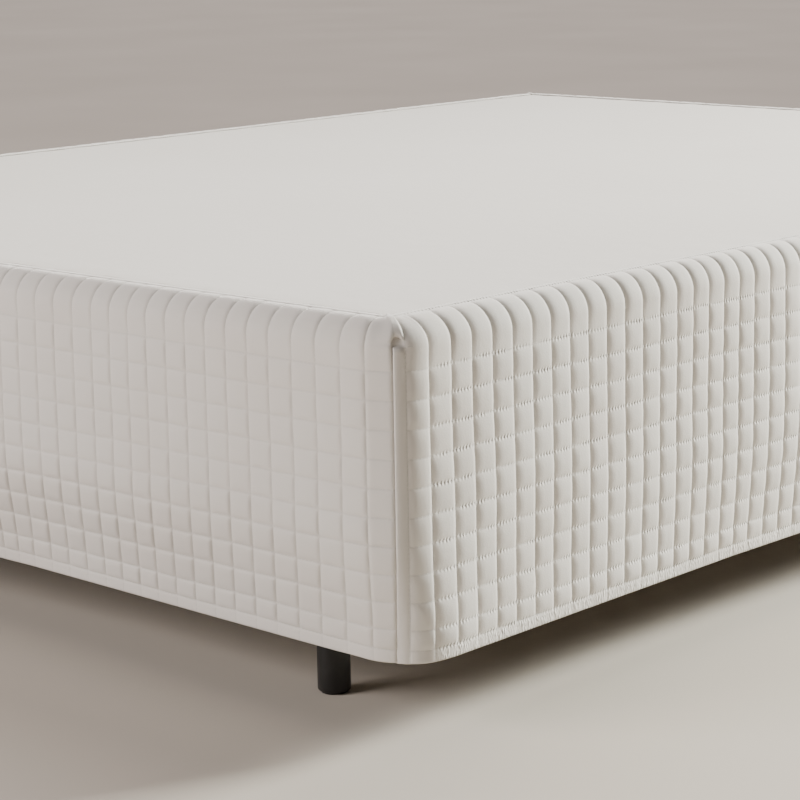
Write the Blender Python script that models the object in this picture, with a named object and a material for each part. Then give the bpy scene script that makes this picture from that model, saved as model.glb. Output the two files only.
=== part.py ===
"""A fitted, quilted bed skirt on a plain bed base with six legs.

Units are metres, +Z is up, the floor is z = 0 and the foot of the bed faces -Y.
The skirt is four quilted panels, one to a side. They are sewn to each other down the
rounded corners, and to a plain deck cloth that lies on top of the base.
"""

import math

import bmesh
import bpy

# Quilting: puffed squares between straight rows of stitching. Each panel starts, at its
# left-hand corner seam, with a flat strip that laps over its neighbour.
SQUARE_WIDE = 0.030
SQUARE_TALL = 0.0288
FULL_ROWS = 9
LAST_ROW = 0.0209
PUFF = 0.0035
END_SQUARES = 50
SIDE_SQUARES = 67
LAP_STRIP = 0.011

# Cloth, from its edge on top of the base, over a roll at the base's edge, down to the hem.
CLOTH = 0.0025
TOP_RETURN = 0.010
ROLL_RADIUS = 0.030
CORNER_RADIUS = 0.045
TOP_ROW_DROP = 0.0481
HEM_BAND = 0.0138
HEM_ABOVE_FLOOR = 0.080
DECK_CLOTH = 0.0015
DECK_GAP = 0.001
SEAM_GAP = 0.0003

# The hem is drawn in under the base, and sways towards the middle of its side. Each is
# (how far in near a corner, how far in far from it, the sway as a share of that).
TUCK_START = 0.225
CORNER_IN = 0.013
CORNER_REACH = 0.071
FAR_REACH = 0.55
END_IN = (0.020, 0.040, 0.9)
SIDE_IN = (-0.005, 0.008, 0.0)

# Squares are not quite even. Each pair is (distance from the corner seam, how far from it
# the seams lie beyond even spacing). The corner seams are past the middle of the corner.
AFTER_CORNER = (
    (0.0, 0.0045),
    (0.041, 0.0010),
    (0.072, 0.0046),
    (0.190, 0.0085),
    (0.370, 0.0102),
    (0.450, 0.0092),
    (0.580, 0.0020),
    (0.750, 0.0),
)
BEFORE_CORNER = (
    (0.0, -0.0045),
    (0.030, -0.0047),
    (0.150, 0.0033),
    (0.240, 0.0037),
    (0.330, 0.0022),
    (0.420, -0.0026),
    (0.600, 0.0),
)

# Bed base and legs.
BASE_BOTTOM = 0.205
BASE_INSET = 0.008
BASE_CLEARANCE = 0.0005
BASE_EDGE = 0.034
BASE_EDGE_STEPS = 4
CORNER_STEPS = 6
LEG_RADIUS = 0.0175
LEG_SIDES = 24
LEG_CHAMFER = 0.0015
LEG_FROM_SIDE = 0.185
LEG_FROM_END = 0.105

# Heights and lengths that follow from those sizes.
HEM_LINE = HEM_ABOVE_FLOOR + HEM_BAND
FIRST_ROW = HEM_LINE + LAST_ROW + FULL_ROWS * SQUARE_TALL
TOP = FIRST_ROW + TOP_ROW_DROP
BASE_TOP = TOP - CLOTH - BASE_CLEARANCE
ROLL_END = TOP_RETURN + ROLL_RADIUS * math.pi / 2
HALF_ARC = CORNER_RADIUS * math.pi / 4


def panel_length(squares):
    """The length of cloth from corner seam to corner seam."""
    return LAP_STRIP + squares * SQUARE_WIDE


def side_of_bed(squares):
    """The straight distance that a panel spans, rounded corners included."""
    return panel_length(squares) - 2 * HALF_ARC + 2 * CORNER_RADIUS


WIDTH = side_of_bed(END_SQUARES)
LENGTH = side_of_bed(SIDE_SQUARES)


def clear_scene():
    for obj in list(bpy.data.objects):
        bpy.data.objects.remove(obj, do_unlink=True)


def material(name, colour, roughness, metallic=0.0):
    made = bpy.data.materials.new(name)
    made.use_nodes = True
    shader = made.node_tree.nodes["Principled BSDF"]
    shader.inputs["Base Color"].default_value = (*colour, 1.0)
    shader.inputs["Roughness"].default_value = roughness
    shader.inputs["Metallic"].default_value = metallic
    made.diffuse_color = (*colour, 1.0)
    return made


def add_object(name, mesh, look, parent, location=(0.0, 0.0, 0.0), turn=0.0):
    """One sub-part from a closed bmesh, with its faces turned outwards."""
    bmesh.ops.recalc_face_normals(mesh, faces=mesh.faces)
    data = bpy.data.meshes.new(name)
    mesh.to_mesh(data)
    mesh.free()
    data.materials.append(look)
    obj = bpy.data.objects.new(name, data)
    obj.location = location
    obj.rotation_euler = (0.0, 0.0, turn)
    obj.parent = parent
    bpy.context.scene.collection.objects.link(obj)
    return obj


# Quilted panels. Each is made facing -Y. "along" runs from its left-hand corner seam to
# its right-hand one, and "down" from its inner edge on top of the base to its hem.


def mix(first, last, share):
    return first + (last - first) * min(max(share, 0.0), 1.0)


def tuck_share(height):
    """How much of the hem's tuck there is at this height, with a soft start and end."""
    share = mix(0.0, 1.0, (TUCK_START - height) / (TUCK_START - HEM_ABOVE_FLOOR))
    return share * share * (3 - 2 * share)


def between(pairs, place):
    """The value at this place, on straight lines between (place, value) pairs."""
    for (first, low), (second, high) in zip(pairs, pairs[1:]):
        if place < second:
            return mix(low, high, (place - first) / (second - first))
    return pairs[-1][1]


def profile(down, lift):
    """The cloth's (inset, height) in section, lifted off the level of its seams."""
    if down <= TOP_RETURN:
        return ROLL_RADIUS + TOP_RETURN - down, TOP + lift
    if down <= ROLL_END:
        angle = (down - TOP_RETURN) / ROLL_RADIUS
        radius = ROLL_RADIUS + lift
        return ROLL_RADIUS - radius * math.sin(angle), TOP - ROLL_RADIUS + radius * math.cos(angle)
    return -lift, TOP - ROLL_RADIUS - (down - ROLL_END)


def down_to(height):
    """The distance down the cloth of a point below the roll."""
    return ROLL_END + TOP - ROLL_RADIUS - height


def cloth_point(panel, along, down, lift=0.0):
    """A point of the cloth: round the corner arcs, over the roll, and in at the hem."""
    length, half_span, distance, (near_in, far_in, sway) = panel
    from_seam = min(along, length - along)
    after = along < length / 2
    inwards = 1 if after else -1
    place = along + inwards * between(AFTER_CORNER if after else BEFORE_CORNER, from_seam)

    inset, height = profile(down, lift)
    radius = CORNER_RADIUS - inset
    straight = min(max(place - HALF_ARC, 0.0), length - 2 * HALF_ARC)
    angle = (place - HALF_ARC - straight) / CORNER_RADIUS
    x = CORNER_RADIUS - half_span + straight + radius * math.sin(angle)
    y = CORNER_RADIUS - distance - radius * math.cos(angle)
    if from_seam == 0.0:
        x += inwards * SEAM_GAP / 2 * math.cos(angle)
        y += inwards * SEAM_GAP / 2 * math.sin(angle)

    share = tuck_share(height)
    near_corner = max(1 - from_seam / CORNER_REACH, 0.0) ** 2
    hem_in = mix(near_in, far_in, (from_seam - CORNER_REACH) / (FAR_REACH - CORNER_REACH))
    hem_in += (CORNER_IN - near_in) * near_corner
    swaying = between(((0.0, 0.0), (CORNER_REACH, sway), (FAR_REACH, sway), (length / 2, 0.0)), from_seam)
    x += inwards * share * (CORNER_IN * near_corner + swaying * hem_in)
    y += share * hem_in
    return x, y, height


def add_strip(mesh, first, second):
    """Two triangles for each step between two lines of as many points."""
    for i in range(len(first) - 1):
        mesh.faces.new((first[i], second[i], second[i + 1]))
        mesh.faces.new((first[i], second[i + 1], first[i + 1]))


def add_fan(mesh, peak, rim):
    """Triangles from a raised point to each step of the rim below it."""
    for first, second in zip(rim, rim[1:]):
        mesh.faces.new((peak, first, second))


def add_top_cell(mesh, left, right, ridge, foot):
    """The tall first cell of a column: a ridge that follows the roll, closed at both ends."""
    add_fan(mesh, ridge[0], (right[1], right[0], left[0], left[1]))
    add_strip(mesh, ridge, left[1:])
    add_strip(mesh, right[1:], ridge)
    add_fan(mesh, ridge[-1], (left[-1], *foot, right[-1]))


def join_edges(mesh, places, points, other_places, other_points):
    """Fills between two edges with unlike spacing, by walking both from end to end."""
    i = 0
    j = 0
    while i < len(points) - 1 or j < len(other_points) - 1:
        here = places[i + 1] if i < len(points) - 1 else math.inf
        there = other_places[j + 1] if j < len(other_points) - 1 else math.inf
        if here <= there:
            mesh.faces.new((points[i], points[i + 1], other_points[j]))
            i += 1
        else:
            mesh.faces.new((points[i], other_points[j + 1], other_points[j]))
            j += 1


def panel_mesh(squares, half_span, distance, own_in):
    """One closed sheet: puffed squares outside, plain inside, the hem part of the cloth."""
    mesh = bmesh.new()
    length = panel_length(squares)
    panel = (length, half_span, distance, own_in)

    def line(along, places, lift=0.0):
        return [mesh.verts.new(cloth_point(panel, along, down, lift)) for down in places]

    # The seams. A square on a rounded corner bends, so it has a line down its middle too.
    columns = [0.0] + [LAP_STRIP + i * SQUARE_WIDE for i in range(squares)] + [length]
    middles = [(first + second) / 2 for first, second in zip(columns, columns[1:])]
    bent = [middles[1], middles[-2], middles[-1]]
    stations = sorted(columns + bent)
    rolls = [0.0, TOP_RETURN, (TOP_RETURN + ROLL_END) / 2, ROLL_END]
    rows = [down_to(FIRST_ROW - i * SQUARE_TALL) for i in range(FULL_ROWS + 1)] + [down_to(HEM_LINE)]
    centres = [(upper + lower) / 2 for upper, lower in zip(rows, rows[1:])]
    drops = rows + [down_to(HEM_ABOVE_FLOOR)]
    over = {along: line(along, rolls) for along in columns}
    hanging = {along: line(along, drops) for along in stations}

    # Outside: the flat lap strip, then one column of puffed cells after another.
    first, second = columns[:2]
    add_strip(mesh, over[second] + hanging[second], over[first] + hanging[first])
    for left, middle, right in zip(columns[1:], middles[1:], columns[2:]):
        seams = [hanging[along] for along in stations if left <= along <= right]
        ridge = line(middle, rolls[1:], PUFF)
        add_top_cell(mesh, over[left], over[right], ridge, [seam[0] for seam in seams])
        for j, peak in enumerate(line(middle, centres, PUFF)):
            rim = [seam[j + 1] for seam in seams] + [seam[j] for seam in reversed(seams)]
            add_fan(mesh, peak, rim + rim[:1])
        for one, other in zip(seams, seams[1:]):
            add_strip(mesh, other[-2:], one[-2:])

    # Inside: plain, with lines only where the cloth bends.
    bends = sorted(columns[:4] + bent + [FAR_REACH, length - FAR_REACH] + columns[-3:])
    levels = rolls + drops[5:]
    inside = {along: line(along, levels, -CLOTH) for along in bends}
    for one, other in zip(bends, bends[1:]):
        add_strip(mesh, inside[one], inside[other])

    # The cut edges: the inner edge, the hem's fold and the two corner seams.
    join_edges(mesh, columns, [over[a][0] for a in columns], bends, [inside[a][0] for a in bends])
    join_edges(mesh, stations, [hanging[a][-1] for a in stations], bends, [inside[a][-1] for a in bends])
    for seam in (first, length):
        join_edges(mesh, rolls + drops, over[seam] + hanging[seam], levels, inside[seam])
    return mesh


# Stacked rings: the base, the deck cloth and the legs.


def rounded_ring(inset, height):
    """The bed's outline, this far in from the skirt's outer face."""
    radius = CORNER_RADIUS - inset
    points = []
    for corner in range(4):
        x_side = 1 if corner in (0, 3) else -1
        y_side = 1 if corner in (0, 1) else -1
        for step in range(CORNER_STEPS + 1):
            angle = (corner + step / CORNER_STEPS) * math.pi / 2
            x = x_side * (WIDTH / 2 - CORNER_RADIUS) + radius * math.cos(angle)
            y = y_side * (LENGTH / 2 - CORNER_RADIUS) + radius * math.sin(angle)
            points.append((x, y, height))
    return points


def round_ring(radius, height):
    angles = [2 * math.pi * i / LEG_SIDES for i in range(LEG_SIDES)]
    return [(radius * math.cos(angle), radius * math.sin(angle), height) for angle in angles]


def stack(rings):
    """A closed solid from rings of as many points, lowest first, with flat ends."""
    mesh = bmesh.new()
    levels = [[mesh.verts.new(point) for point in ring] for ring in rings]
    count = len(levels[0])
    for lower, upper in zip(levels, levels[1:]):
        for i in range(count):
            after = (i + 1) % count
            side = mesh.faces.new((lower[i], lower[after], upper[after], upper[i]))
            side.smooth = True
    mesh.faces.new(levels[0][::-1])
    mesh.faces.new(levels[-1])
    return mesh


def base_mesh():
    """The base as one plain box with rounded corners and a rounded top edge."""
    rings = [rounded_ring(BASE_INSET, BASE_BOTTOM)]
    for step in range(BASE_EDGE_STEPS + 1):
        angle = step / BASE_EDGE_STEPS * math.pi / 2
        inset = BASE_INSET + BASE_EDGE * (1 - math.cos(angle))
        rings.append(rounded_ring(inset, BASE_TOP - BASE_EDGE * (1 - math.sin(angle))))
    return stack(rings)


def deck_mesh():
    """The plain cloth between the panels' inner edges, lying on the base."""
    inset = ROLL_RADIUS + TOP_RETURN + DECK_GAP
    heights = (TOP - CLOTH, TOP - CLOTH + DECK_CLOTH)
    return stack([rounded_ring(inset, height) for height in heights])


def leg_mesh():
    """A round leg with its foot's rim eased, its top just under the base."""
    foot = round_ring(LEG_RADIUS - LEG_CHAMFER, 0.0)
    rim = round_ring(LEG_RADIUS, LEG_CHAMFER)
    top = round_ring(LEG_RADIUS, BASE_BOTTOM - SEAM_GAP)
    return stack([foot, rim, top])


def leg_places():
    """Each leg's name and place: three down each side of the bed."""
    out = WIDTH / 2 - LEG_FROM_SIDE
    end = LENGTH / 2 - LEG_FROM_END
    for side, x in (("left", -out), ("right", out)):
        for place, y in (("foot", -end), ("middle", 0.0), ("head", end)):
            yield f"leg_{place}_{side}", (x, y, 0.0)


def main():
    clear_scene()
    quilted = material("quilted_cloth", (0.66, 0.63, 0.58), 0.75)
    plain = material("deck_cloth", (0.72, 0.70, 0.66), 0.85)
    board = material("base_cover", (0.50, 0.47, 0.43), 0.9)
    black = material("leg_black", (0.012, 0.011, 0.010), 0.45)

    bed = bpy.data.objects.new("bed", None)
    bpy.context.scene.collection.objects.link(bed)

    add_object("bed_base", base_mesh(), board, bed)
    for name, place in leg_places():
        add_object(name, leg_mesh(), black, bed, location=place)
    add_object("deck_cloth", deck_mesh(), plain, bed)

    end_panel = (END_SQUARES, WIDTH / 2, LENGTH / 2, END_IN)
    side_panel = (SIDE_SQUARES, LENGTH / 2, WIDTH / 2, SIDE_IN)
    panels = (("foot", end_panel), ("right", side_panel), ("head", end_panel), ("left", side_panel))
    for quarter, (side, sizes) in enumerate(panels):
        turn = quarter * math.pi / 2
        add_object(f"{side}_panel", panel_mesh(*sizes), quilted, bed, turn=turn)


main()
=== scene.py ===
"""The looks of a fitted, quilted bed skirt on a plain bed base with six round legs.

Metres, +Z up, the floor at z = 0, the foot of the bed towards -Y. Each section below is
one piece, or one group of like pieces, in the order in which they are put together.
"""

import math
from collections import namedtuple
from types import SimpleNamespace

import bpy
import numpy as np
from mathutils import Matrix, Vector


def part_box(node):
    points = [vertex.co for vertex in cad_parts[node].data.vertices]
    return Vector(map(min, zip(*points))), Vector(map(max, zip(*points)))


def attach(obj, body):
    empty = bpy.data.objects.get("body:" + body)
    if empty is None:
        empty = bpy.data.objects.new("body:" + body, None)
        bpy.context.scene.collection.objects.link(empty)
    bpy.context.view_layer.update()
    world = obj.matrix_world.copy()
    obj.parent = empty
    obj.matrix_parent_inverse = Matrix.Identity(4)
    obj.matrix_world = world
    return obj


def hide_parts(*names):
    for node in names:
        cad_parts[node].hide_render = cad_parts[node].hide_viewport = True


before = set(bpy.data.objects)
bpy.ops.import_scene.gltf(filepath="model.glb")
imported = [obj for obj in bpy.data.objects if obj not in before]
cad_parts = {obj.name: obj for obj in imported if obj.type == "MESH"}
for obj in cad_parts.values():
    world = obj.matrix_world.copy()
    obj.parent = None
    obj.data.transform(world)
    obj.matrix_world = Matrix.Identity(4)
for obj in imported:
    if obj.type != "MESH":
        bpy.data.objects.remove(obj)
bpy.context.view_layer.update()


# ---------------------------------------------------------------------------
# Camera. It stands off one corner of the foot, a little above the bed, with a
# long lens, so that both quilted faces run away from the corner.
# ---------------------------------------------------------------------------

CAMERA_PLACE = (2.4429, -2.8224, 0.8489)
CAMERA_TURN = math.radians(42.74)
CAMERA_DROP = math.radians(11.45)
CAMERA_ROLL = math.radians(-0.98)
CAMERA_LENS = 119.65
CAMERA_SEES = 200.0
SENSOR = 36.0

level = Vector((math.cos(CAMERA_TURN), math.sin(CAMERA_TURN), 0.0))
inward = Vector((-math.sin(CAMERA_TURN), math.cos(CAMERA_TURN), 0.0))
ahead = inward * math.cos(CAMERA_DROP) - Vector((0.0, 0.0, math.sin(CAMERA_DROP)))
camera_right = level * math.cos(CAMERA_ROLL) + level.cross(ahead) * math.sin(CAMERA_ROLL)
camera_up = camera_right.cross(ahead)
camera_axes = Matrix((camera_right, camera_up, -ahead)).transposed()

camera_data = bpy.data.cameras.new("camera")
camera_data.sensor_width = SENSOR
camera_data.lens = CAMERA_LENS
camera_data.clip_end = CAMERA_SEES
camera = bpy.data.objects.new("camera", camera_data)
camera.matrix_world = Matrix.Translation(CAMERA_PLACE) @ camera_axes.to_4x4()
bpy.context.scene.collection.objects.link(camera)
bpy.context.scene.camera = camera


# ---------------------------------------------------------------------------
# Quilted panels. Two faces of brushed microfibre with wadding between them, sewn
# through in squares. One panel hangs on each side of the bed, over a rounded top
# edge. Its left end laps over its neighbour, and its hem is turned up and sewn.
# ---------------------------------------------------------------------------

# The quilting and the cloth's section, as the panels are cut.
END_SQUARES = 50
SIDE_SQUARES = 67
SQUARE_WIDE = 0.030
SQUARE_TALL = 0.0288
FULL_ROWS = 9
LAST_ROW = 0.0209
LAP_STRIP = 0.011
CLOTH = 0.0025
TOP_RETURN = 0.010
ROLL_RADIUS = 0.030
CORNER_RADIUS = 0.045
TOP_ROW_DROP = 0.0481
HEM_BAND = 0.0138
HEM_ABOVE_FLOOR = 0.080

# The hem is drawn in under the base, and sways towards the middle of its side. Each is
# (how far in near a corner, how far in far from it, the sway as a share of that).
TUCK_START = 0.225
CORNER_IN = 0.013
CORNER_REACH = 0.071
FAR_REACH = 0.55
END_IN = (0.020, 0.040, 0.9)
SIDE_IN = (-0.005, 0.008, 0.0)

# Squares are not quite even: at the distances in the first row from the corner seam, the
# seams lie as far beyond even spacing as the second row says.
AFTER_CORNER = (
    (0.0, 0.041, 0.072, 0.190, 0.370, 0.450, 0.580, 0.750),
    (0.0045, 0.0010, 0.0046, 0.0085, 0.0102, 0.0092, 0.0020, 0.0),
)
BEFORE_CORNER = (
    (0.0, 0.030, 0.150, 0.240, 0.330, 0.420, 0.600),
    (-0.0045, -0.0047, 0.0033, 0.0037, 0.0022, -0.0026, 0.0),
)

HEM_LINE = HEM_ABOVE_FLOOR + HEM_BAND
FIRST_ROW = HEM_LINE + LAST_ROW + FULL_ROWS * SQUARE_TALL
TOP = FIRST_ROW + TOP_ROW_DROP
ROLL_END = TOP_RETURN + ROLL_RADIUS * math.pi / 2
HALF_ARC = CORNER_RADIUS * math.pi / 4


def panel_length(squares):
    """The length of cloth from corner seam to corner seam."""
    return LAP_STRIP + squares * SQUARE_WIDE


def side_of_bed(squares):
    """The straight distance that a panel spans, rounded corners included."""
    return panel_length(squares) - 2 * HALF_ARC + 2 * CORNER_RADIUS


WIDTH = side_of_bed(END_SQUARES)
LENGTH = side_of_bed(SIDE_SQUARES)

# The cloth of the sides hangs slacker: it bulges, fills out between its seams, and puckers.
# Filling: how proud a square stands, how steep it is at its seams across (at both) and down,
# the share of it that a row of stitches leaves standing, and how much fuller the lowest are.
Filling = namedtuple("Filling", "puff across down row_hold fuller")
END_FILLING = Filling(0.0019, (5.5, 8.0), 5.5, 0.05, 0.35)
SIDE_FILLING = Filling(0.0033, (4.0, 6.5), 2.4, 0.25, 0.0)
Panel = namedtuple("Panel", "name squares half_span distance hem_in bulge filling crinkle turn seed")
END_FACE = (END_SQUARES, WIDTH / 2, LENGTH / 2, END_IN, 0.0, END_FILLING, 0.12)
SIDE_FACE = (SIDE_SQUARES, LENGTH / 2, WIDTH / 2, SIDE_IN, 0.0020, SIDE_FILLING, 1.0)
PANELS = (
    Panel("foot_panel", *END_FACE, turn=0.0, seed=11),
    Panel("right_panel", *SIDE_FACE, turn=math.pi / 2, seed=23),
    Panel("head_panel", *END_FACE, turn=math.pi, seed=37),
    Panel("left_panel", *SIDE_FACE, turn=-math.pi / 2, seed=41),
)


def ease(share):
    """0 to 1 with a soft start and end."""
    share = np.clip(share, 0.0, 1.0)
    return share * share * (3 - 2 * share)


def rise(value, start, over):
    """0 before the start, and 1 from this far beyond it."""
    return ease((value - start) / over)


def fall(value, end, over):
    """1 until this far before the end, and 0 beyond it."""
    return ease((end - value) / over)


def down_to(height):
    """The distance down the cloth of a point below the roll."""
    return ROLL_END + TOP - ROLL_RADIUS - height


def down_the_roll(height):
    """The distance down the cloth of a point on the roll."""
    return TOP_RETURN + ROLL_RADIUS * math.acos((height - TOP + ROLL_RADIUS) / ROLL_RADIUS)


def section(down, lift):
    """The cloth's inset from the side of the bed and its height, `lift` off its seams' level."""
    angle = np.clip((down - TOP_RETURN) / ROLL_RADIUS, 0.0, math.pi / 2)
    radius = ROLL_RADIUS + lift
    inset = ROLL_RADIUS - radius * np.sin(angle) + np.maximum(TOP_RETURN - down, 0.0)
    height = TOP - ROLL_RADIUS + radius * np.cos(angle) - np.maximum(down - ROLL_END, 0.0)
    return inset, height


def on_cloth(panel, along, down, lift):
    """Points of a panel: round the corner arcs, over the roll, and in at the hem."""
    length = panel_length(panel.squares)
    from_seam = np.maximum(np.minimum(along, length - along), 0.0)
    after = along < length / 2
    inwards = np.where(after, 1.0, -1.0)
    off = np.where(after, np.interp(from_seam, *AFTER_CORNER), np.interp(from_seam, *BEFORE_CORNER))
    place = along + inwards * off

    inset, height = section(down, lift)
    radius = CORNER_RADIUS - inset
    straight = np.clip(place - HALF_ARC, 0.0, length - 2 * HALF_ARC)
    angle = (place - HALF_ARC - straight) / CORNER_RADIUS
    x = CORNER_RADIUS - panel.half_span + straight + radius * np.sin(angle)
    y = CORNER_RADIUS - panel.distance - radius * np.cos(angle)

    tuck = ease((TUCK_START - height) / (TUCK_START - HEM_ABOVE_FLOOR))
    near_in, far_in, sway = panel.hem_in
    near_corner = np.maximum(1 - from_seam / CORNER_REACH, 0.0) ** 2
    hem_in = np.interp(from_seam, (CORNER_REACH, FAR_REACH), (near_in, far_in))
    hem_in = hem_in + (CORNER_IN - near_in) * near_corner
    swaying = np.interp(from_seam, (0.0, CORNER_REACH, FAR_REACH, length / 2), (0.0, sway, sway, 0.0))
    x = x + inwards * tuck * (CORNER_IN * near_corner + swaying * hem_in)
    y = y + tuck * hem_in

    cos, sin = math.cos(panel.turn), math.sin(panel.turn)
    return np.stack([x * cos - y * sin, x * sin + y * cos, height], axis=-1)


# How unevenly it is sewn and hangs: (what is added to the panel's seed, and humps of this
# size and this height). It is all calm this near the ends, the top and the hem.
SEAM_WANDER = (10, ((0.023, 0.0002), (0.085, 0.0003)))
ROW_WANDER = (20, ((0.019, 0.0004), (0.110, 0.0006)))
SLACK = (30, ((0.060, 0.0004), (0.170, 0.0012)))
CALM_ENDS = 0.04
CALM_TOP = 0.03
CALM_HEM = 0.02

# The corner seam makes a crease: at these distances after it and before it, the cloth
# stands this far out from the round corner. It grows down the roll and flattens lower down.
STANDS_AFTER = (
    (0.0, 0.011, 0.022, 0.041, 0.070, 0.130, 0.25),
    (0.0037, 0.0046, 0.0045, 0.0036, 0.0028, 0.0016, 0.0),
)
STANDS_BEFORE = ((0.0, 0.016, 0.045, 0.120), (0.0037, -0.0022, -0.0018, 0.0))
CREASE_STARTS = (0.020, 0.030)
CREASE_FLATTENS_AT = 0.13
CREASE_FLATTENS_OVER = 0.05
CREASE_FLATTENED = 0.7

# A side's bulge, after its corner seam: (where it starts or ends, and over how far it grows
# or fades), and the same for its top and its foot, which are heights.
BULGE_STARTS = (0.020, 0.050)
BULGE_ENDS = (0.450, 0.330)
BULGE_TOP = 0.33
BULGE_TOP_OVER = 0.10
BULGE_FOOT = 0.14
BULGE_FOOT_OVER = 0.09

# Humps of cloth are random heights on a lattice, which is used from this many humps in.
LATTICE = (160, 64)
LATTICE_MARGIN = 3.0


def soft_noise(along, down, size, seed):
    """Smooth unevenness from -1 to 1, with humps about this size."""
    lattice = np.random.default_rng(seed).uniform(-1.0, 1.0, LATTICE)
    x = along / size + LATTICE_MARGIN
    y = down / size + LATTICE_MARGIN
    i = np.floor(x).astype(int)
    j = np.floor(y).astype(int)
    right = ease(x - i)
    lower = ease(y - j)
    upper_side = lattice[i, j] * (1 - right) + lattice[i + 1, j] * right
    lower_side = lattice[i, j + 1] * (1 - right) + lattice[i + 1, j + 1] * right
    return upper_side * (1 - lower) + lower_side * lower


def unevenness(along, down, seed, humps):
    """Humps of several sizes, added up."""
    return sum(
        height * soft_noise(along, down, size, seed + i)
        for i, (size, height) in enumerate(humps)
    )


def hang(panel, along, down, lift):
    """Points of a panel with the wander of its seams and the slack of hanging cloth."""
    length = panel_length(panel.squares)
    free = ease(np.minimum(along, length - along) / CALM_ENDS) * rise(down, TOP_RETURN, CALM_TOP)
    free = free * fall(down, down_to(HEM_ABOVE_FLOOR), CALM_HEM)

    def wander(start, humps):
        return free * unevenness(along, down, panel.seed + start, humps)

    near_corner = rise(along, *BULGE_STARTS) * fall(along, *BULGE_ENDS)
    mid_height = fall(down, down_to(BULGE_FOOT), BULGE_FOOT_OVER)
    mid_height = mid_height * rise(down, down_to(BULGE_TOP), BULGE_TOP_OVER)
    crease = np.interp(along, *STANDS_AFTER) + np.interp(length - along, *STANDS_BEFORE)
    lower_down = rise(down, down_to(CREASE_FLATTENS_AT), CREASE_FLATTENS_OVER)
    crease = crease * rise(down, *CREASE_STARTS) * (1 - CREASE_FLATTENED * lower_down)
    stands = crease + panel.bulge * near_corner * mid_height
    return on_cloth(
        panel,
        along + wander(*SEAM_WANDER),
        down + wander(*ROW_WANDER),
        lift + stands + wander(*SLACK),
    )


# The stations of a panel's mesh, close together where the cloth turns sharply.
ACROSS_SQUARE = (0.03, 0.09, 0.19, 0.36, 0.62, 0.80, 0.88, 0.94, 0.98, 1.0)
DOWN_SQUARE = (0.05, 0.15, 0.35, 0.65, 0.85, 0.95, 1.0)
DOWN_HEM = (0.06, 0.16, 0.40, 0.70, 0.90, 0.97, 1.0)
DOWN_EDGE = (0.10, 0.25, 0.60, 1.0)
DOWN_ROLL = (0.03, 0.10, 0.22, 0.36, 0.50, 0.64, 0.78, 0.9)
ABOVE_FIRST_ROW = (0.002, 0.0007, 0.0)
ACROSS_STRIP = (0.03, 0.07, 0.14, 0.40, 0.75, 0.88, 0.94, 1.0)
ACROSS_TUCK = (0.12, 0.25, 0.40, 0.55, 0.70, 0.82, 0.92, 1.0)

# The end that a neighbour laps over runs on under it. At the top it comes out again as a
# small hood, whose edge slants down from the corner seam to the neighbour's first column.
TUCKED_END = 0.0104
HOOD_EDGE_HEIGHTS = (0.4062, 0.3995)
HOOD_EDGE = [down_the_roll(height) for height in HOOD_EDGE_HEIGHTS]
HOOD_END_LIFT = 0.24

# Down the hood's section: a point this far below its edge, where it sits, and its lift.
HoodPoint = namedtuple("HoodPoint", "below sits lift")
HOOD = (
    HoodPoint(-0.0600, -0.0600, 0.0014),
    HoodPoint(-0.0390, -0.0390, 0.0016),
    HoodPoint(-0.0310, -0.0310, 0.0030),
    HoodPoint(-0.0120, -0.0120, 0.0036),
    HoodPoint(-0.0070, -0.0066, 0.0033),
    HoodPoint(-0.0040, -0.0034, 0.0026),
    HoodPoint(-0.0018, -0.0010, 0.0014),
    HoodPoint(-0.0004, 0.0000, 0.0002),
    HoodPoint(0.0012, -0.0006, -0.0014),
    HoodPoint(0.0035, -0.0010, -0.0038),
    HoodPoint(0.0080, 0.0050, -0.0038),
    HoodPoint(0.0140, 0.0140, -0.0012),
    HoodPoint(0.4000, 0.4000, -0.0012),
)
HOOD_LIP = HOOD[3:11]

ROW_LINES = [0.0, TOP_RETURN]
ROW_LINES += [down_to(FIRST_ROW - i * SQUARE_TALL) for i in range(FULL_ROWS + 1)]
ROW_LINES += [down_to(HEM_LINE), down_to(HEM_ABOVE_FLOOR)]
INNER_EDGE, TALL_ROW, HEM = 0, 1, len(ROW_LINES) - 2


def spread(lines, shares, usual):
    """Stations between the lines, at these shares of each gap: (places, gaps, shares)."""
    found = [(lines[0], 0, 0.0)]
    for gap, (first, last) in enumerate(zip(lines, lines[1:])):
        for share in shares.get(gap, usual):
            found.append((first + (last - first) * share, gap, share))
    place, gap, share = (np.array(values) for values in zip(*found))
    return place, gap.astype(int), share


def down_stations():
    """The tall first row is finer where the roll bends and where the hood ends."""
    first, last = ROW_LINES[TALL_ROW : TALL_ROW + 2]
    lip = [HOOD_EDGE[1] + point.below for point in HOOD_LIP]
    roll = [first + (lip[0] - first) * share for share in DOWN_ROLL]
    to_row = [last - above for above in ABOVE_FIRST_ROW]
    tall = [(place - first) / (last - first) for place in roll + lip + to_row]
    return spread(ROW_LINES, {INNER_EDGE: DOWN_EDGE, TALL_ROW: tall, HEM: DOWN_HEM}, DOWN_SQUARE)


def seams_of(panel):
    """How far along the cloth its upright seams are."""
    return [LAP_STRIP + i * SQUARE_WIDE for i in range(panel.squares + 1)]


def along_stations(panel):
    """Across the cloth: the lap strip, the squares, and the end under the neighbour."""
    lines = [0.0, *seams_of(panel), panel_length(panel.squares) + TUCKED_END]
    stations = spread(lines, {0: ACROSS_STRIP, len(lines) - 2: ACROSS_TUCK}, ACROSS_SQUARE)
    return *stations, np.diff(lines)


def swell(share, first, last=None):
    """The height of filled cloth between two seams, and how steep it is at each of them."""
    sharpness = np.where(share < 0.5, first, first if last is None else last)
    return 1.0 - np.abs(2 * share - 1) ** sharpness


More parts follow.
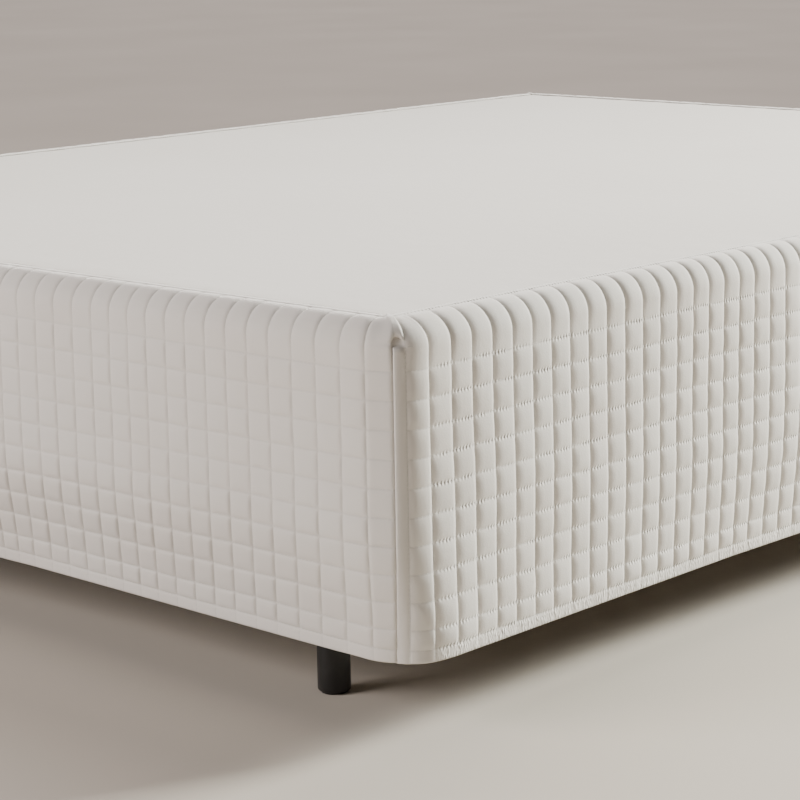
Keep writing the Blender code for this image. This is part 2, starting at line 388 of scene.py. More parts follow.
# How proud a square stands of its seams. The first column is flatter, the tall first row
# fills out over this share of it, and the lowest squares are fuller from this height down.
PUFF_RANGE = (0.84, 1.12)
PUFF_LEAN = 0.16
FIRST_COLUMN = 0.65
TALL_ROW_FILLS = 0.3
FULLER_FROM = 0.28
FULLER_OVER = 0.10


def ridge(panel, along):
    """How far the cloth stands up between its upright seams."""
    past = along - LAP_STRIP
    share = past / SQUARE_WIDE % 1.0
    filled = np.where(past < SQUARE_WIDE, FIRST_COLUMN + (1 - FIRST_COLUMN) * ease(share), 1.0)
    return panel.filling.puff * filled * swell(share, *panel.filling.across)


def fill_squares(panel, grid):
    """Filled squares, each a little fuller or flatter, and fuller to one side."""
    row, column, across, drop = grid.row, grid.column, grid.across, grid.drop
    rng = np.random.default_rng(panel.seed)
    # Each row has a number for every square, and for the lap strip and the tucked end.
    counts = (len(ROW_LINES), panel.squares + 2)
    fullness = rng.uniform(*PUFF_RANGE, counts)[row, column]
    lean_across, lean_down = rng.uniform(-PUFF_LEAN, PUFF_LEAN, (2, *counts))
    lean = lean_across[row, column] * (2 * across - 1) + lean_down[row, column] * (2 * drop - 1)
    from_end = np.minimum(grid.along, panel_length(panel.squares) - grid.along)
    inset = section(grid.down, 0.0)[0]
    gathered = np.where(from_end < HALF_ARC, 1 - inset / CORNER_RADIUS, 1.0)
    hold = panel.filling.row_hold
    held = hold * np.where(row == TALL_ROW, ease(drop / TALL_ROW_FILLS), 1.0)
    filled = (1 - hold) * fullness * (1 + lean) * swell(drop, panel.filling.down)
    fuller = 1 + panel.filling.fuller * rise(grid.down, down_to(FULLER_FROM), FULLER_OVER)
    grid.puff = gathered * fuller * ridge(panel, grid.along) * (held + filled)


# The inner edge is folded and thin. The hem is a flat band that stays full from its middle
# down, with faint upright seams, and a rounded fold: (share of its height, how far out).
EDGE_LIFT = 0.0008
EDGE_RISES = 0.25
EDGE_THICK = 0.0015
HEM_LIFT = 0.0012
HEM_SEAMS = 0.4
HEM_STEEP_ACROSS = 8
HEM_STEEP_DOWN = 6
HEM_FOLD = ((0.95, 0.97, 1.0), (0.0010, 0.0004, -0.0010))


def fold_edges(grid):
    row, drop = grid.row, grid.drop
    grid.level = np.where(row == INNER_EDGE, EDGE_LIFT * ease(drop / EDGE_RISES), 0.0)
    grid.thick = np.where(row == INNER_EDGE, EDGE_THICK, CLOTH)
    seams = 1 - HEM_SEAMS + HEM_SEAMS * swell(grid.across, HEM_STEEP_ACROSS)
    band = HEM_LIFT * seams * swell(np.minimum(drop, 0.5), HEM_STEEP_DOWN)
    grid.puff = np.where(row == INNER_EDGE, 0.0, np.where(row == HEM, band, grid.puff))
    at_fold = (row == HEM) & (drop > HEM_FOLD[0][0])
    stands = np.interp(drop, *HEM_FOLD)
    grid.puff = np.where(at_fold, np.maximum(stands, 0.0), grid.puff)
    grid.level = np.where(at_fold, np.minimum(stands, 0.0), grid.level)


# The lap strip is a folded edge of single cloth that lies on the neighbour and dives under
# its hood. Its shares are of its width, and its pairs are (where, over how far).
SINGLE_THICK = 0.0013
STRIP_LIFT = 0.0020
STRIP_ROUND = 0.14
STRIP_EDGE_LIFT = 0.1
STRIP_EDGE_THICK = 0.25
STRIP_SLOPE = 0.35
STRIP_DROPS = (0.5, 0.5)
STRIP_AT_HEM_FOLD = ((0.9, 1.0), (1.0, 0.5))
STRIP_FOLD = 0.0012
STRIP_FOLD_SHARE = 0.35
STRIP_COMES_OUT = (0.0012, 0.0023)
STRIP_DIVE = 0.0024
DIVE_STARTS = (-0.045, 0.020)
DIVE_FADES = (0.7, 0.3)


def lay_strip(grid):
    across, strip, out = grid.across, grid.strip, grid.out
    folded = np.sqrt(1 - (1 - np.minimum(across / STRIP_ROUND, 1.0)) ** 2)
    slope = 1 - STRIP_SLOPE * across - (1 - STRIP_SLOPE) * rise(across, *STRIP_DROPS)
    proud = STRIP_LIFT * (STRIP_EDGE_LIFT + (1 - STRIP_EDGE_LIFT) * folded) * slope
    proud = proud * np.where(grid.row == HEM, np.interp(grid.drop, *STRIP_AT_HEM_FOLD), 1.0)
    dive = STRIP_DIVE * rise(grid.below, *DIVE_STARTS) * (1 - rise(across, *DIVE_FADES))
    thick = SINGLE_THICK * (STRIP_EDGE_THICK + (1 - STRIP_EDGE_THICK) * folded)
    turned = STRIP_FOLD * np.maximum(1 - across / STRIP_FOLD_SHARE, 0.0)
    grid.level = np.where(strip, proud * out - dive * (1 - out), grid.level)
    grid.puff = np.where(strip, 0.0, grid.puff)
    grid.thick = np.where(strip, thick, grid.thick)
    grid.along = np.where(strip, grid.along - turned, grid.along)


# The far end is tucked under the neighbour and hooded over it at the top. Its pairs are
# (where, over how far), from the corner seam, along the tucked end and below the hood's edge.
HOOD_STARTS = (-0.013, 0.012)
LIP_STARTS = (-0.0035, 0.0045)
HOOD_LOWERS = (0.7, 0.3)
HOOD_CURVE = 3
SLANT_STARTS = (-0.030, 0.022)
SLANT_ENDS = (0.015, 0.010)


def tuck_end(panel, grid):
    below = grid.below
    past = grid.along - panel_length(panel.squares)
    beyond = np.clip(past / TUCKED_END, 0.0, 1.0)
    points = HoodPoint(*np.array(HOOD).T)
    hood = np.interp(below, points.below, points.lift)
    lowered = 1 - (1 - HOOD_END_LIFT) * rise(beyond, *HOOD_LOWERS)
    hood = np.where(hood > 0, hood * lowered, hood)
    lip = rise(past, *LIP_STARTS)
    joined = np.where(below < 0, rise(past, *HOOD_STARTS), lip)
    grid.puff = grid.puff * (1 - joined)
    grid.level = grid.level + joined * (hood - grid.level)
    grid.thick = grid.thick + joined * (SINGLE_THICK - grid.thick)
    slant = (HOOD_EDGE[1] - HOOD_EDGE[0]) * (1 - beyond**HOOD_CURVE)
    slant = slant * rise(below, *SLANT_STARTS) * fall(below, *SLANT_ENDS)
    grid.sits = grid.down + lip * (np.interp(below, points.below, points.sits) - below - slant)


# The lap's line of stitches has the darkest painted shade, for its crease: there, the
# distance from a seam is below 0.
LAP_LINE_SHADE = 0.0012
CRINKLE_STARTS = (0.035, 0.02)


def mark_seams(panel, grid, widths):
    """What the material reads: how far off the seams and rows are, and the crinkling."""
    across, drop = grid.across, grid.drop
    to_first = np.where(grid.column == 0, 1.0, across)
    from_seam = np.minimum(to_first, 1 - across) * widths[grid.column]
    # Below 0 on the lap's line of stitches, where the material paints the darkest shade, for its
    # crease.
    grid.from_seam = np.where(grid.strip & (across == 1.0), -LAP_LINE_SHADE * grid.out, from_seam)
    from_row = np.minimum(drop, 1 - drop) * np.diff(ROW_LINES)[grid.row]
    grid.from_row = np.where(grid.strip, SQUARE_TALL / 2, from_row)
    grid.crinkle = panel.crinkle * rise(grid.along, *CRINKLE_STARTS)
    grid.seed = np.full_like(grid.along, panel.seed)


def panel_grid(panel):
    """A panel's outer face, as grids with a value for each of its points.

    They say how far along and down the cloth it is, its column and row, its share of the
    way across and down that, how its cloth stands, and what the material reads there.
    """
    place, gap, share, widths = along_stations(panel)
    places, rows, shares = down_stations()
    grid = SimpleNamespace()
    grid.along, grid.down = np.meshgrid(place, places)
    grid.column, grid.row = np.meshgrid(gap, rows)
    grid.across, grid.drop = np.meshgrid(share, shares)
    grid.strip = (grid.column == 0) & (grid.row != INNER_EDGE)
    grid.below = grid.down - HOOD_EDGE[1]
    grid.out = rise(grid.below, *STRIP_COMES_OUT)
    fill_squares(panel, grid)
    fold_edges(grid)
    lay_strip(grid)
    tuck_end(panel, grid)
    mark_seams(panel, grid, widths)
    return grid


def walk_edges(first, second, first_places, second_places):
    """Triangles between two lines of points with unlike spacing, from end to end."""
    faces = []
    i = j = 0
    while i < len(first) - 1 or j < len(second) - 1:
        here = first_places[i + 1] if i < len(first) - 1 else math.inf
        there = second_places[j + 1] if j < len(second) - 1 else math.inf
        if here <= there:
            faces.append((first[i + 1], first[i], second[j]))
            i += 1
        else:
            faces.append((second[j], second[j + 1], first[i]))
            j += 1
    return faces


def quads(numbers):
    """Faces between neighbouring points of a grid of point numbers."""
    corners = numbers[:-1, :-1], numbers[1:, :-1], numbers[1:, 1:], numbers[:-1, 1:]
    return np.stack(corners, axis=-1).reshape(-1, 4).tolist()


def add_piece(name, points, faces, look, marks=()):
    """A smooth mesh object, with any vectors that its material reads at its points."""
    mesh = bpy.data.meshes.new(name)
    mesh.from_pydata(points.reshape(-1, 3).tolist(), [], faces)
    mesh.shade_smooth()
    mesh.materials.append(look)
    for mark, values in marks:
        stored = mesh.attributes.new(mark, "FLOAT_VECTOR", "POINT")
        stored.data.foreach_set("vector", np.asarray(values, np.float32).ravel())
    piece = bpy.data.objects.new(name, mesh)
    bpy.context.scene.collection.objects.link(piece)
    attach(piece, "root")
    return piece


def panel_piece(panel, grid, look):
    """One closed sheet: the fine outside, a plain inside, and the edges between them."""
    row, drop = grid.row[:, 0], grid.drop[:, 0]
    on_row = (row > TALL_ROW) & (drop == 1.0)
    kept = (row == TALL_ROW) | ((row == INNER_EDGE) & (drop > 0)) | on_row
    kept[-1] = False
    kept[-2] = True
    inner = SimpleNamespace(**{name: values[kept] for name, values in vars(grid).items()})
    outer_points = hang(panel, grid.along, grid.sits, grid.level + grid.puff)
    inner_points = hang(panel, inner.along, inner.sits, inner.level - inner.thick)

    numbers = np.arange(grid.along.size).reshape(grid.along.shape)
    others = numbers.size + np.arange(inner.along.size).reshape(inner.along.shape)
    faces = quads(numbers) + [face[::-1] for face in quads(others)]
    faces += quads(np.stack([others[0], numbers[0]]))
    faces += quads(np.stack([numbers[-1], others[-1]]))
    places, other_places = grid.down[:, 0], inner.down[:, 0]
    faces += walk_edges(numbers[:, 0], others[:, 0], places, other_places)
    far_edge = walk_edges(numbers[:, -1], others[:, -1], places, other_places)
    faces += [face[::-1] for face in far_edge]

    def both(*names):
        """These values as vectors, for the points of the outside and then of the inside."""
        layers = [[getattr(layer, name).ravel() for name in names] for layer in (grid, inner)]
        return np.concatenate([np.stack(values, axis=-1) for values in layers])

    points = np.concatenate([outer_points.reshape(-1, 3), inner_points.reshape(-1, 3)])
    sewing = both("from_seam", "from_row", "crinkle")
    marks = (("cloth", both("along", "down", "seed")), ("sewing", sewing))
    return add_piece(f"{panel.name}_cloth", points, faces, look, marks)


class Socket:
    """One output of a material's nodes. Arithmetic on it adds Math nodes."""

    def __init__(self, tree, link=None):
        self.tree = tree
        self.link = link

    def node(self, kind, settings=None, sockets=None, output=0):
        """Adds a node of this kind: its settings first, then its sockets' values or links."""
        made = self.tree.nodes.new("ShaderNode" + kind)
        for name, value in (settings or {}).items():
            setattr(made, name, value)
        for name, value in (sockets or {}).items():
            if isinstance(value, Socket):
                self.tree.links.new(value.link, made.inputs[name])
            else:
                made.inputs[name].default_value = value
        return Socket(self.tree, made.outputs[output])

    def math(self, operation, *others, clamp=False):
        """This value, with any others, through a Math node."""
        settings = {"operation": operation, "use_clamp": clamp}
        return self.node("Math", settings, dict(enumerate((self, *others))))

    def __add__(self, other):
        return self.math("ADD", other)

    def __sub__(self, other):
        return self.math("SUBTRACT", other)

    def __rsub__(self, other):
        """A number less this value."""
        return self * -1.0 + other

    def __mul__(self, other):
        return self.math("MULTIPLY", other)

    def __truediv__(self, other):
        return self.math("DIVIDE", other)

    def __pow__(self, other):
        return self.math("POWER", other)

    __radd__ = __add__
    __rmul__ = __mul__

    def part(self, name):
        """The X, Y or Z of this vector."""
        return self.node("SeparateXYZ", sockets={0: self}, output=name)

    def noise(self, scale, detail=2.0):
        """Noise at this place, finer with a greater scale, from 0 to 1."""
        return self.node("TexNoise", sockets={"Vector": self, "Scale": scale, "Detail": detail})

    def bump(self, strength, distance):
        """The normal of a surface that this height lifts."""
        sockets = {"Strength": strength, "Distance": distance, "Height": self}
        return self.node("Bump", sockets=sockets)

    def near(self, reach):
        """1 where this value is 0, falling to 0 at this reach."""
        return (self / -reach).math("ADD", 1.0, clamp=True)

    def above(self, least):
        """What this value has over the least one that counts."""
        return self.math("SUBTRACT", least, clamp=True)

    def blend(self, first, second):
        """The first colour where this is 0, the second where it is 1."""
        sockets = {0: self, 6: first, 7: second}
        return self.node("Mix", {"data_type": "RGBA"}, sockets, output=2)


def new_look(name, **constants):
    """A new material with these constants on its shader: (material, shader, its nodes)."""
    look = bpy.data.materials.new(name)
    look.use_nodes = True
    shader = look.node_tree.nodes["Principled BSDF"]
    for socket, value in constants.items():
        shader.inputs[socket.replace("_", " ")].default_value = value
    return look, shader, Socket(look.node_tree)


def feed(nodes, shader, **sockets):
    """Links varying values to the shader's sockets, whose names have _ for a space."""
    for socket, value in sockets.items():
        nodes.tree.links.new(value.link, shader.inputs[socket.replace("_", " ")])


# Brushed microfibre: a tight weave, in threads a metre, under a soft nap, drawn into fine
# puckers by the stitches, and crinkled where the hem was turned up by hand.
CLOTH_COLOUR = (0.735, 0.700, 0.655, 1.0)
CLOTH_WARM = (0.705, 0.655, 0.606, 1.0)
# The colour of the painted shade in the creases of the seams and rows.
SEAM_SHADE_COLOUR = (0.555, 0.535, 0.500, 1.0)
STITCH_PITCH = 0.0046
THREAD_COUNT = 1700.0

# How far from a seam and a row the puckers reach, and the painted shade where cloth meets cloth,
# and how fast the hem's crinkles grow below its seam.
SEAM_PUCKERS = 0.0030
ROW_PUCKERS = 0.0036
SEAM_SHADE = 0.0011
ROW_SHADE = 0.0015
HEM_CRINKLES = 0.003


def quilted_look():
    """The panels' cloth. Its noise is as fine as humps a metre, and its heights are in mm."""
    look, shader, nodes = new_look("quilted_cloth", Sheen_Weight=0.4, Sheen_Roughness=0.3)
    cloth = nodes.node("Attribute", {"attribute_name": "cloth"}, output="Vector")
    sewing = nodes.node("Attribute", {"attribute_name": "sewing"}, output="Vector")
    along, down = cloth.part("X"), cloth.part("Y")
    from_seam, from_row, crinkle = (sewing.part(name) for name in "XYZ")

    def wave(place, pitch):
        return (place * (2 * math.pi / pitch)).math("SINE")

    # The weave, the nap, and the puckers that the stitches draw along rows and seams.
    weave = wave(along, 1 / THREAD_COUNT) * wave(down, 1 / THREAD_COUNT) * 0.006
    nap = cloth.noise(420.0) * 0.10 + cloth.noise(95.0) * 0.22
    patch = cloth.noise(60.0).above(0.38) * 3.4 * crinkle
    ragged = cloth.noise(200.0) * 0.0030
    by_row = from_row.near(ROW_PUCKERS) ** 1.5
    row_pucker = wave(along + down * 0.15 + ragged, STITCH_PITCH) * by_row * patch
    by_seam = from_seam.near(SEAM_PUCKERS) ** 2.0
    seam_pucker = wave(down + ragged, STITCH_PITCH) * by_seam * 0.07

    # The hem's crinkles: fine, upright streaks, in patches.
    upright = nodes.node("VectorMath", {"operation": "MULTIPLY"}, {0: cloth, 1: (1.0, 0.28, 1.0)})
    streaks = upright.noise(300.0, 1.0)
    in_hem = (down - ROW_LINES[HEM]) / HEM_CRINKLES
    drawn = (cloth.noise(85.0).above(0.38) * 5.0 + 0.2) * crinkle * in_hem.above(0.0)
    hem_crinkle = (streaks - 0.5).math("ABSOLUTE") * drawn * 3.2
    bump = (weave + nap + row_pucker + seam_pucker + hem_crinkle).bump(1.0, 0.001)

    # Colour: a little warmer in patches, and painted shade where cloth meets in a seam.
    tint = cloth.noise(7.0).above(0.35) * 1.6
    # Painted shade in the creases of the seams and rows.
    painted_seam_shade = (from_seam.near(SEAM_SHADE) * 0.35).math("MAXIMUM", from_row.near(ROW_SHADE) * 0.5)
    # Painted shade along the lap's line of stitches, the darkest of the seams.
    lap_line_shade = (from_seam * -1.0).above(0.0) / LAP_LINE_SHADE
    colour = (painted_seam_shade + lap_line_shade * 0.65).blend(tint.blend(CLOTH_COLOUR, CLOTH_WARM), SEAM_SHADE_COLOUR)
    feed(nodes, shader, Base_Color=colour, Roughness=0.74 + cloth.noise(300.0) * 0.16, Normal=bump)
    return look


quilted = quilted_look()
grids = {panel.name: panel_grid(panel) for panel in PANELS}
panel_pieces = {panel.name: panel_piece(panel, grids[panel.name], quilted) for panel in PANELS}


# ---------------------------------------------------------------------------
# Stitching. White polyester thread: straight rows and columns through the quilting,
# one line down each lap, one along the hem and one where panels join the deck cloth.
# ---------------------------------------------------------------------------

STITCH = 0.0032
THREAD = 0.00030
THREAD_PROUD = 0.00045
THREAD_SUNK = -0.00030
STITCH_SKEW = 0.00030
SKEW_SEED = 5
JOIN_LINE = 0.0035
LINE_STOPS = 0.002
LAP_LINE_BELOW = 0.003
TACK_BELOW = 0.0012
TACK_TALL = 0.0036
TACK_STEP = 0.0011
TACK_STITCHES = 6


def stitch_line(along, down, last_along, last_down):
    """Starts and ends of the stitches in a straight line, as (along, down) pairs."""
    first = np.array([along, down])
    step = np.array([last_along, last_down]) - first
    length = float(np.linalg.norm(step))
    starts = first + np.arange(0.0, length - STITCH, STITCH_PITCH)[:, None] * step / length
    return starts, starts + STITCH * step / length


def stitches_of(panel):
    """Every stitch of a panel, its bar-tack at the top of the lap included: (starts, ends)."""
    length = panel_length(panel.squares)
    columns = seams_of(panel)[1:-1]
    lines = [(LAP_STRIP, row, length, row) for row in ROW_LINES[TALL_ROW + 1 : -1]]
    lines += [(seam, TOP_RETURN + LINE_STOPS, seam, ROW_LINES[HEM]) for seam in columns]
    lap_line = (HOOD_EDGE[1] + LAP_LINE_BELOW, ROW_LINES[-1] - LINE_STOPS)
    lines += [(LAP_STRIP, lap_line[0], LAP_STRIP, lap_line[1])]
    lines += [(LINE_STOPS, JOIN_LINE, length - LINE_STOPS, JOIN_LINE)]
    found = [stitch_line(*line) for line in lines]
    corners = np.arange(TACK_STITCHES + 1)
    tack_down = HOOD_EDGE[1] + TACK_BELOW + np.where(corners % 2, TACK_TALL, 0.0)
    tack = np.stack([LAP_STRIP + TACK_STEP * (corners + 1), tack_down], axis=1)
    found.append((tack[:-1], tack[1:]))
    starts, ends = (np.concatenate(places) for places in zip(*found))
    return starts, ends


def level_at(grid, place):
    """How far a panel's face stands off its seams at these places, between the grid's points."""
    across, over = grid.along[-1], grid.down[:, 0]
    i = np.clip(np.searchsorted(over, place[:, 1]) - 1, 0, len(over) - 2)
    j = np.clip(np.searchsorted(across, place[:, 0]) - 1, 0, len(across) - 2)
    lower = (place[:, 1] - over[i]) / (over[i + 1] - over[i])
    right = (place[:, 0] - across[j]) / (across[j + 1] - across[j])
    face = grid.level + grid.puff
    upper_side = face[i, j] * (1 - right) + face[i, j + 1] * right
    lower_side = face[i + 1, j] * (1 - right) + face[i + 1, j + 1] * right
    return upper_side * (1 - lower) + lower_side * lower


def thread_piece(panel, grid, look):
    """The panel's stitches as one mesh, each a spindle that dips into the cloth at its ends."""
    starts, ends = stitches_of(panel)
    step = (ends - starts) / np.linalg.norm(ends - starts, axis=1, keepdims=True)
    aside = np.stack([-step[:, 1], step[:, 0]], axis=1)
    rng = np.random.default_rng(panel.seed + SKEW_SEED)
    skew = rng.uniform(-STITCH_SKEW, STITCH_SKEW, (len(starts), 1))
    starts = starts + aside * skew
    ends = ends - aside * skew
    middle = (starts + ends) / 2
    rings = (
        (starts, 0.0, THREAD_SUNK),
        (middle, -THREAD, 0.0),
        (middle, 0.0, THREAD_PROUD),
        (middle, THREAD, 0.0),
        (ends, 0.0, THREAD_SUNK),
    )
    points = []
    for place, sideways, proud in rings:
        along, down = (place + aside * sideways).T
        points.append(hang(panel, along, down, level_at(grid, place) + proud))
    first = np.arange(len(starts))[:, None] * len(rings)
    # Three facets from point 0, the start, to the middle, and three from there to point 4.
    facets = [(0, i, i % 3 + 1) for i in range(1, 4)] + [(4, i % 3 + 1, i) for i in range(1, 4)]
    faces = (first[:, :, None] + np.array(facets)[None]).reshape(-1, 3).tolist()
    return add_piece(f"{panel.name}_stitching", np.stack(points, axis=1), faces, look)


THREAD_COLOUR = (0.84, 0.82, 0.78, 1.0)
THREAD_SHADE = (0.74, 0.71, 0.66, 1.0)


def thread_look():
    """Spun thread, with its ply showing as fine light and shade."""
    look, shader, nodes = new_look("thread", Sheen_Weight=0.1)
    place = nodes.node("TexCoord", output="Object")
    ply = place.noise(1400.0, 1.0)
    bump = ply.bump(0.5, 0.0002)
    colour = ply.blend(THREAD_COLOUR, THREAD_SHADE)
    feed(nodes, shader, Base_Color=colour, Roughness=0.5 + ply * 0.2, Normal=bump)
    return look


thread = thread_look()
for panel in PANELS:
    stitching = thread_piece(panel, grids[panel.name], thread)
    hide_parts(panel.name)
    panel_length(panel.squares) + TUCKED_END


# ---------------------------------------------------------------------------
# Deck cloth. A plain woven sheet that lies on top of the base inside the panels,
# whose folded inner edges are sewn down on its rim. It holds the skirt in place.
# ---------------------------------------------------------------------------

DECK_UNDER = 0.007
DECK_THICK = 0.0010
DECK_STEP = 0.015
DECK_CREASES = ((0.75, 0.0009), (0.21, 0.0005), (0.055, 0.00015))
DECK_SEED = 70
DECK_CALM_RIM = 0.03
DECK_PUCKER = 0.0007
DECK_PUCKER_PITCH = 0.075
DECK_PUCKERED = 0.09
DECK_SEWN_FLAT = 0.012
DECK_WEAVE = 5200.0
DECK_COLOUR = (0.72, 0.685, 0.64, 1.0)
DECK_WARM = (0.68, 0.64, 0.59, 1.0)


def deck_heights(x, y, half):
    """The height of the sheet's underside, with soft creases, and puckers by the panels."""
    from_rim = np.minimum(half[0] - np.abs(x), half[1] - np.abs(y))
    creases = sum(
        far * (soft_noise(x + half[0], y + half[1], size, DECK_SEED + i) + 1) / 2
        for i, (size, far) in enumerate(DECK_CREASES)
    )
    around = np.where(half[0] - np.abs(x) < half[1] - np.abs(y), y, x)
    pucker = DECK_PUCKER * (np.sin(around * 2 * math.pi / DECK_PUCKER_PITCH) + 1) / 2
    pucker = pucker * ease(1 - from_rim / DECK_PUCKERED) * ease(from_rim / DECK_SEWN_FLAT)
    return TOP - CLOTH + creases * ease(from_rim / DECK_CALM_RIM) + pucker


def round_off(x, y, half, corner):
    """The points of a rectangle, those beyond its rounded corners drawn in to the round."""
    over = np.maximum(np.stack([np.abs(x) - half[0], np.abs(y) - half[1]]) + corner, 0.0)
    beyond = np.hypot(*over) > corner
    shrink = corner / np.maximum(np.hypot(*over), corner)
    x = np.where(beyond, np.sign(x) * (half[0] - corner + over[0] * shrink), x)
    y = np.where(beyond, np.sign(y) * (half[1] - corner + over[1] * shrink), y)
    return x, y


def deck_piece(look):
    """A sheet with a rounded rim, whose folded edge gives it its thickness."""
    inset = ROLL_RADIUS + TOP_RETURN - DECK_UNDER
    half = np.array([WIDTH / 2 - inset, LENGTH / 2 - inset])
    counts = (2 * half / DECK_STEP).astype(int)
    x, y = (np.linspace(-reach, reach, count + 1) for reach, count in zip(half, counts))
    x, y = np.meshgrid(x, y, indexing="ij")
    lower = deck_heights(x, y, half)
    x, y = round_off(x, y, half, CORNER_RADIUS - inset)
    upper = np.stack([x, y, lower + DECK_THICK], axis=-1)
    under = np.stack([x, y, lower], axis=-1)

    numbers = np.arange(x.size).reshape(x.shape)
    others = numbers + x.size
    faces = [face[::-1] for face in quads(numbers)] + quads(others)
    rims = (
        (numbers[0], others[0]),
        (others[-1], numbers[-1]),
        (others[:, 0], numbers[:, 0]),
        (numbers[:, -1], others[:, -1]),
    )
    for rim in rims:
        faces += quads(np.stack(rim))
    return add_piece("deck_sheet", np.stack([upper, under]), faces, look)


def deck_look():
    """Plain weave, its threads crossing, with slubs and soft unevenness."""
    look, shader, nodes = new_look("deck_cloth", Sheen_Weight=0.1)
    place = nodes.node("TexCoord", output="Object")
    warp = (place.part("X") * DECK_WEAVE).math("SINE")
    weft = (place.part("Y") * DECK_WEAVE).math("SINE")
    threads = warp * weft
    height = threads * 0.02 + place.noise(340.0) * 0.10 + place.noise(42.0, 3.0) * 0.5
    bump = height.bump(1.0, 0.001)
    colour = place.noise(3.0).blend(DECK_COLOUR, DECK_WARM)
    feed(nodes, shader, Base_Color=colour, Roughness=0.8 + place.noise(500.0) * 0.12, Normal=bump)
    return look


deck = deck_piece(deck_look())
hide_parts("deck_cloth")
WIDTH - 2 * (ROLL_RADIUS + TOP_RETURN - DECK_UNDER)
LENGTH - 2 * (ROLL_RADIUS + TOP_RETURN - DECK_UNDER)


# ---------------------------------------------------------------------------
# Bed base. A wooden box frame under a stapled cover of plain, felted cloth. It is
# almost wholly hidden: only its underside shows, from low down.
# ---------------------------------------------------------------------------

BASE_COLOUR = (0.50, 0.47, 0.43, 1.0)
BASE_FLECK = (0.38, 0.36, 0.33, 1.0)


def base_look():
    """Felted cloth, flecked with darker fibres."""
    look, shader, nodes = new_look("base_cover")
    place = nodes.node("TexCoord", output="Object")
    fleck = place.noise(260.0, 4.0)
    felt = place.noise(900.0)
    bump = (fleck * 0.6 + felt * 0.4).bump(1.0, 0.0006)
    colour = fleck.blend(BASE_COLOUR, BASE_FLECK)
    feed(nodes, shader, Base_Color=colour, Roughness=0.85 + felt * 0.1, Normal=bump)
    return look


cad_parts["bed_base"].data.materials.clear()
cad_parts["bed_base"].data.materials.append(base_look())


# ---------------------------------------------------------------------------
# Legs. Six round steel tubes with a satin black finish, screwed up into the base.
# Each has an eased rim at its foot, over a thin plastic glide.
# ---------------------------------------------------------------------------

LEG_RADIUS = 0.0175
LEG_SIDES = 72
# Down the leg's outline: (inset, height), from its top to the middle of its foot.
LEG_OUTLINE = (
    (0.0000, 0.2047),
    (0.0000, 0.0052),
    (0.0004, 0.0034),
    (0.0014, 0.0024),
    (0.0026, 0.0022),
    (0.0030, 0.0018),
    (0.0032, 0.0004),
    (0.0040, 0.0000),
)
LEG_BLACK = (0.012, 0.011, 0.010, 1.0)
LEG_WORN = (0.028, 0.026, 0.024, 1.0)


def leg_look():
    """Satin black paint, with a fine grain and paler where it is worn."""
    look, shader, nodes = new_look("leg_black", Specular_IOR_Level=0.45)
    place = nodes.node("TexCoord", output="Object")
    grain = place.noise(900.0)
    smear = place.noise(60.0, 3.0)
    bump = grain.bump(0.35, 0.0002)
    colour = (smear.above(0.5) * 1.5).blend(LEG_BLACK, LEG_WORN)
    feed(nodes, shader, Base_Color=colour, Roughness=0.36 + smear * 0.16, Normal=bump)
    return look


def leg_piece(node, look):
    """A leg turned from its outline, where its node stands."""
    low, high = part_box(node)
    centre = (low + high) / 2
    inset, height = np.array(LEG_OUTLINE).T[:, :, None]
    angles = np.arange(LEG_SIDES) * 2 * math.pi / LEG_SIDES
    x = centre.x + (LEG_RADIUS - inset) * np.cos(angles)
    y = centre.y + (LEG_RADIUS - inset) * np.sin(angles)
    points = np.stack(np.broadcast_arrays(x, y, height), axis=-1)
    numbers = np.arange(x.size).reshape(x.shape)
    faces = quads(np.concatenate([numbers, numbers[:, :1]], axis=1))
    faces += [numbers[0].tolist(), numbers[-1][::-1].tolist()]
    return add_piece(f"{node}_tube", points, faces, look)


black = leg_look()
for node in sorted(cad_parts):
    if node.startswith("leg_"):
        leg = leg_piece(node, black)
        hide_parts(node)


# ---------------------------------------------------------------------------
# Studio. A plain pale floor, a window at the left in front of the bed and one at the
# right behind it, so that the corner is the darkest, and a faint, even surround.
# ---------------------------------------------------------------------------

FLOOR_SIZE = 60.0
FLOOR_COLOUR = (0.58, 0.525, 0.46, 1.0)
FLOOR_SHADE = (0.55, 0.495, 0.43, 1.0)


def floor_look():
    """Plain and pale, with faint clouds in it."""
    look, shader, nodes = new_look("floor", Specular_IOR_Level=0.2)
    place = nodes.node("TexCoord", output="Object")
    cloud = place.noise(1.5)
    colour = cloud.blend(FLOOR_COLOUR, FLOOR_SHADE)
    feed(nodes, shader, Base_Color=colour, Roughness=0.7 + cloud * 0.1)
    return look


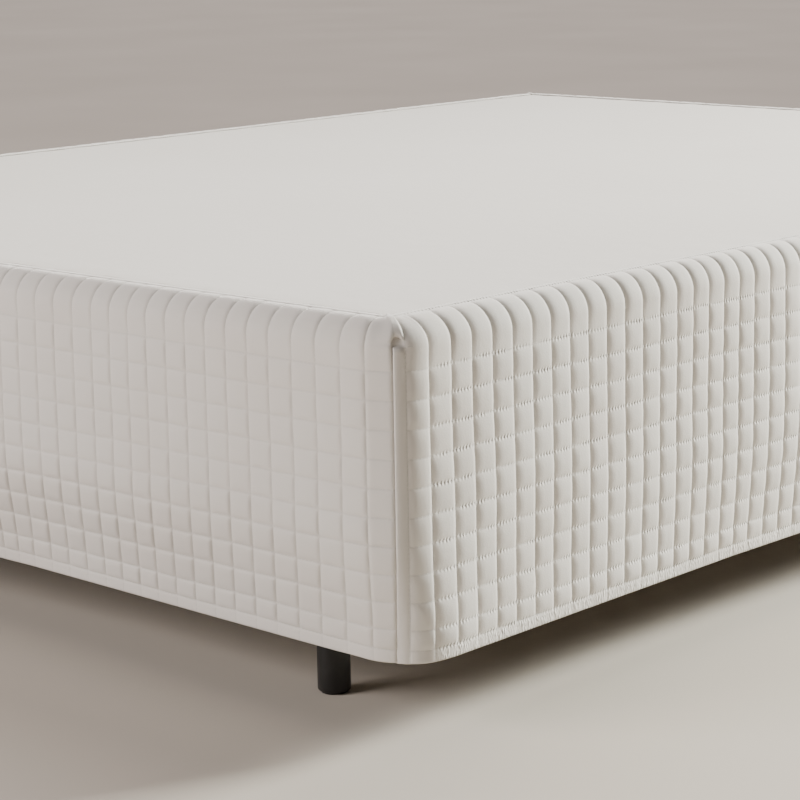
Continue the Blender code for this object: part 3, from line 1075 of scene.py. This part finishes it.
floor_mesh = bpy.data.meshes.new("floor")
reach = FLOOR_SIZE / 2
floor_corners = [(-reach, -reach, 0.0), (reach, -reach, 0.0), (reach, reach, 0.0), (-reach, reach, 0.0)]
floor_mesh.from_pydata(floor_corners, [], [(0, 1, 2, 3)])
floor_mesh.materials.append(floor_look())
floor = bpy.data.objects.new("floor", floor_mesh)
bpy.context.scene.collection.objects.link(floor)

# Each window: name, place, what it points at, width, height, spread in degrees, watts, colour.
WINDOWS = (
    ("left_window", (-1.6, -4.8, 2.1), (0.2, -1.0, 0.25), 2.6, 2.0, 180, 229.0, (1.0, 0.945, 0.93)),
    ("right_window", (2.37, 4.16, 2.3), (0.77, 0.2, 0.25), 1.6, 1.6, 90, 250.0, (0.985, 1.0, 0.93)),
)
for name, place, target, wide, tall, spread_angle, watts, colour in WINDOWS:
    light_data = bpy.data.lights.new(name, "AREA")
    light_data.shape = "RECTANGLE"
    light_data.size = wide
    light_data.size_y = tall
    light_data.spread = math.radians(spread_angle)
    light_data.energy = watts
    light_data.color = colour
    light = bpy.data.objects.new(name, light_data)
    light.location = place
    light.rotation_euler = (Vector(target) - Vector(place)).to_track_quat("-Z", "Y").to_euler()
    bpy.context.scene.collection.objects.link(light)

# A wide soft light from behind the bed, as from a bright room, for the floor and the top.
BACK_FROM = (-0.5, 0.62, 0.6)
BACK_SOFTNESS = math.radians(50)
BACK_STRENGTH = 3.2
BACK_COLOUR = (1.0, 0.91, 0.87)
back_data = bpy.data.lights.new("back_light", "SUN")
back_data.angle = BACK_SOFTNESS
back_data.energy = BACK_STRENGTH
back_data.color = BACK_COLOUR
back_light = bpy.data.objects.new("back_light", back_data)
back_light.rotation_euler = Vector(BACK_FROM).to_track_quat("Z", "Y").to_euler()
bpy.context.scene.collection.objects.link(back_light)

SURROUND_COLOUR = (0.98, 1.0, 0.95, 1.0)
SURROUND_STRENGTH = 0.08
world = bpy.data.worlds.new("surround")
world.use_nodes = True
world.node_tree.nodes["Background"].inputs["Color"].default_value = SURROUND_COLOUR
world.node_tree.nodes["Background"].inputs["Strength"].default_value = SURROUND_STRENGTH
bpy.context.scene.world = world
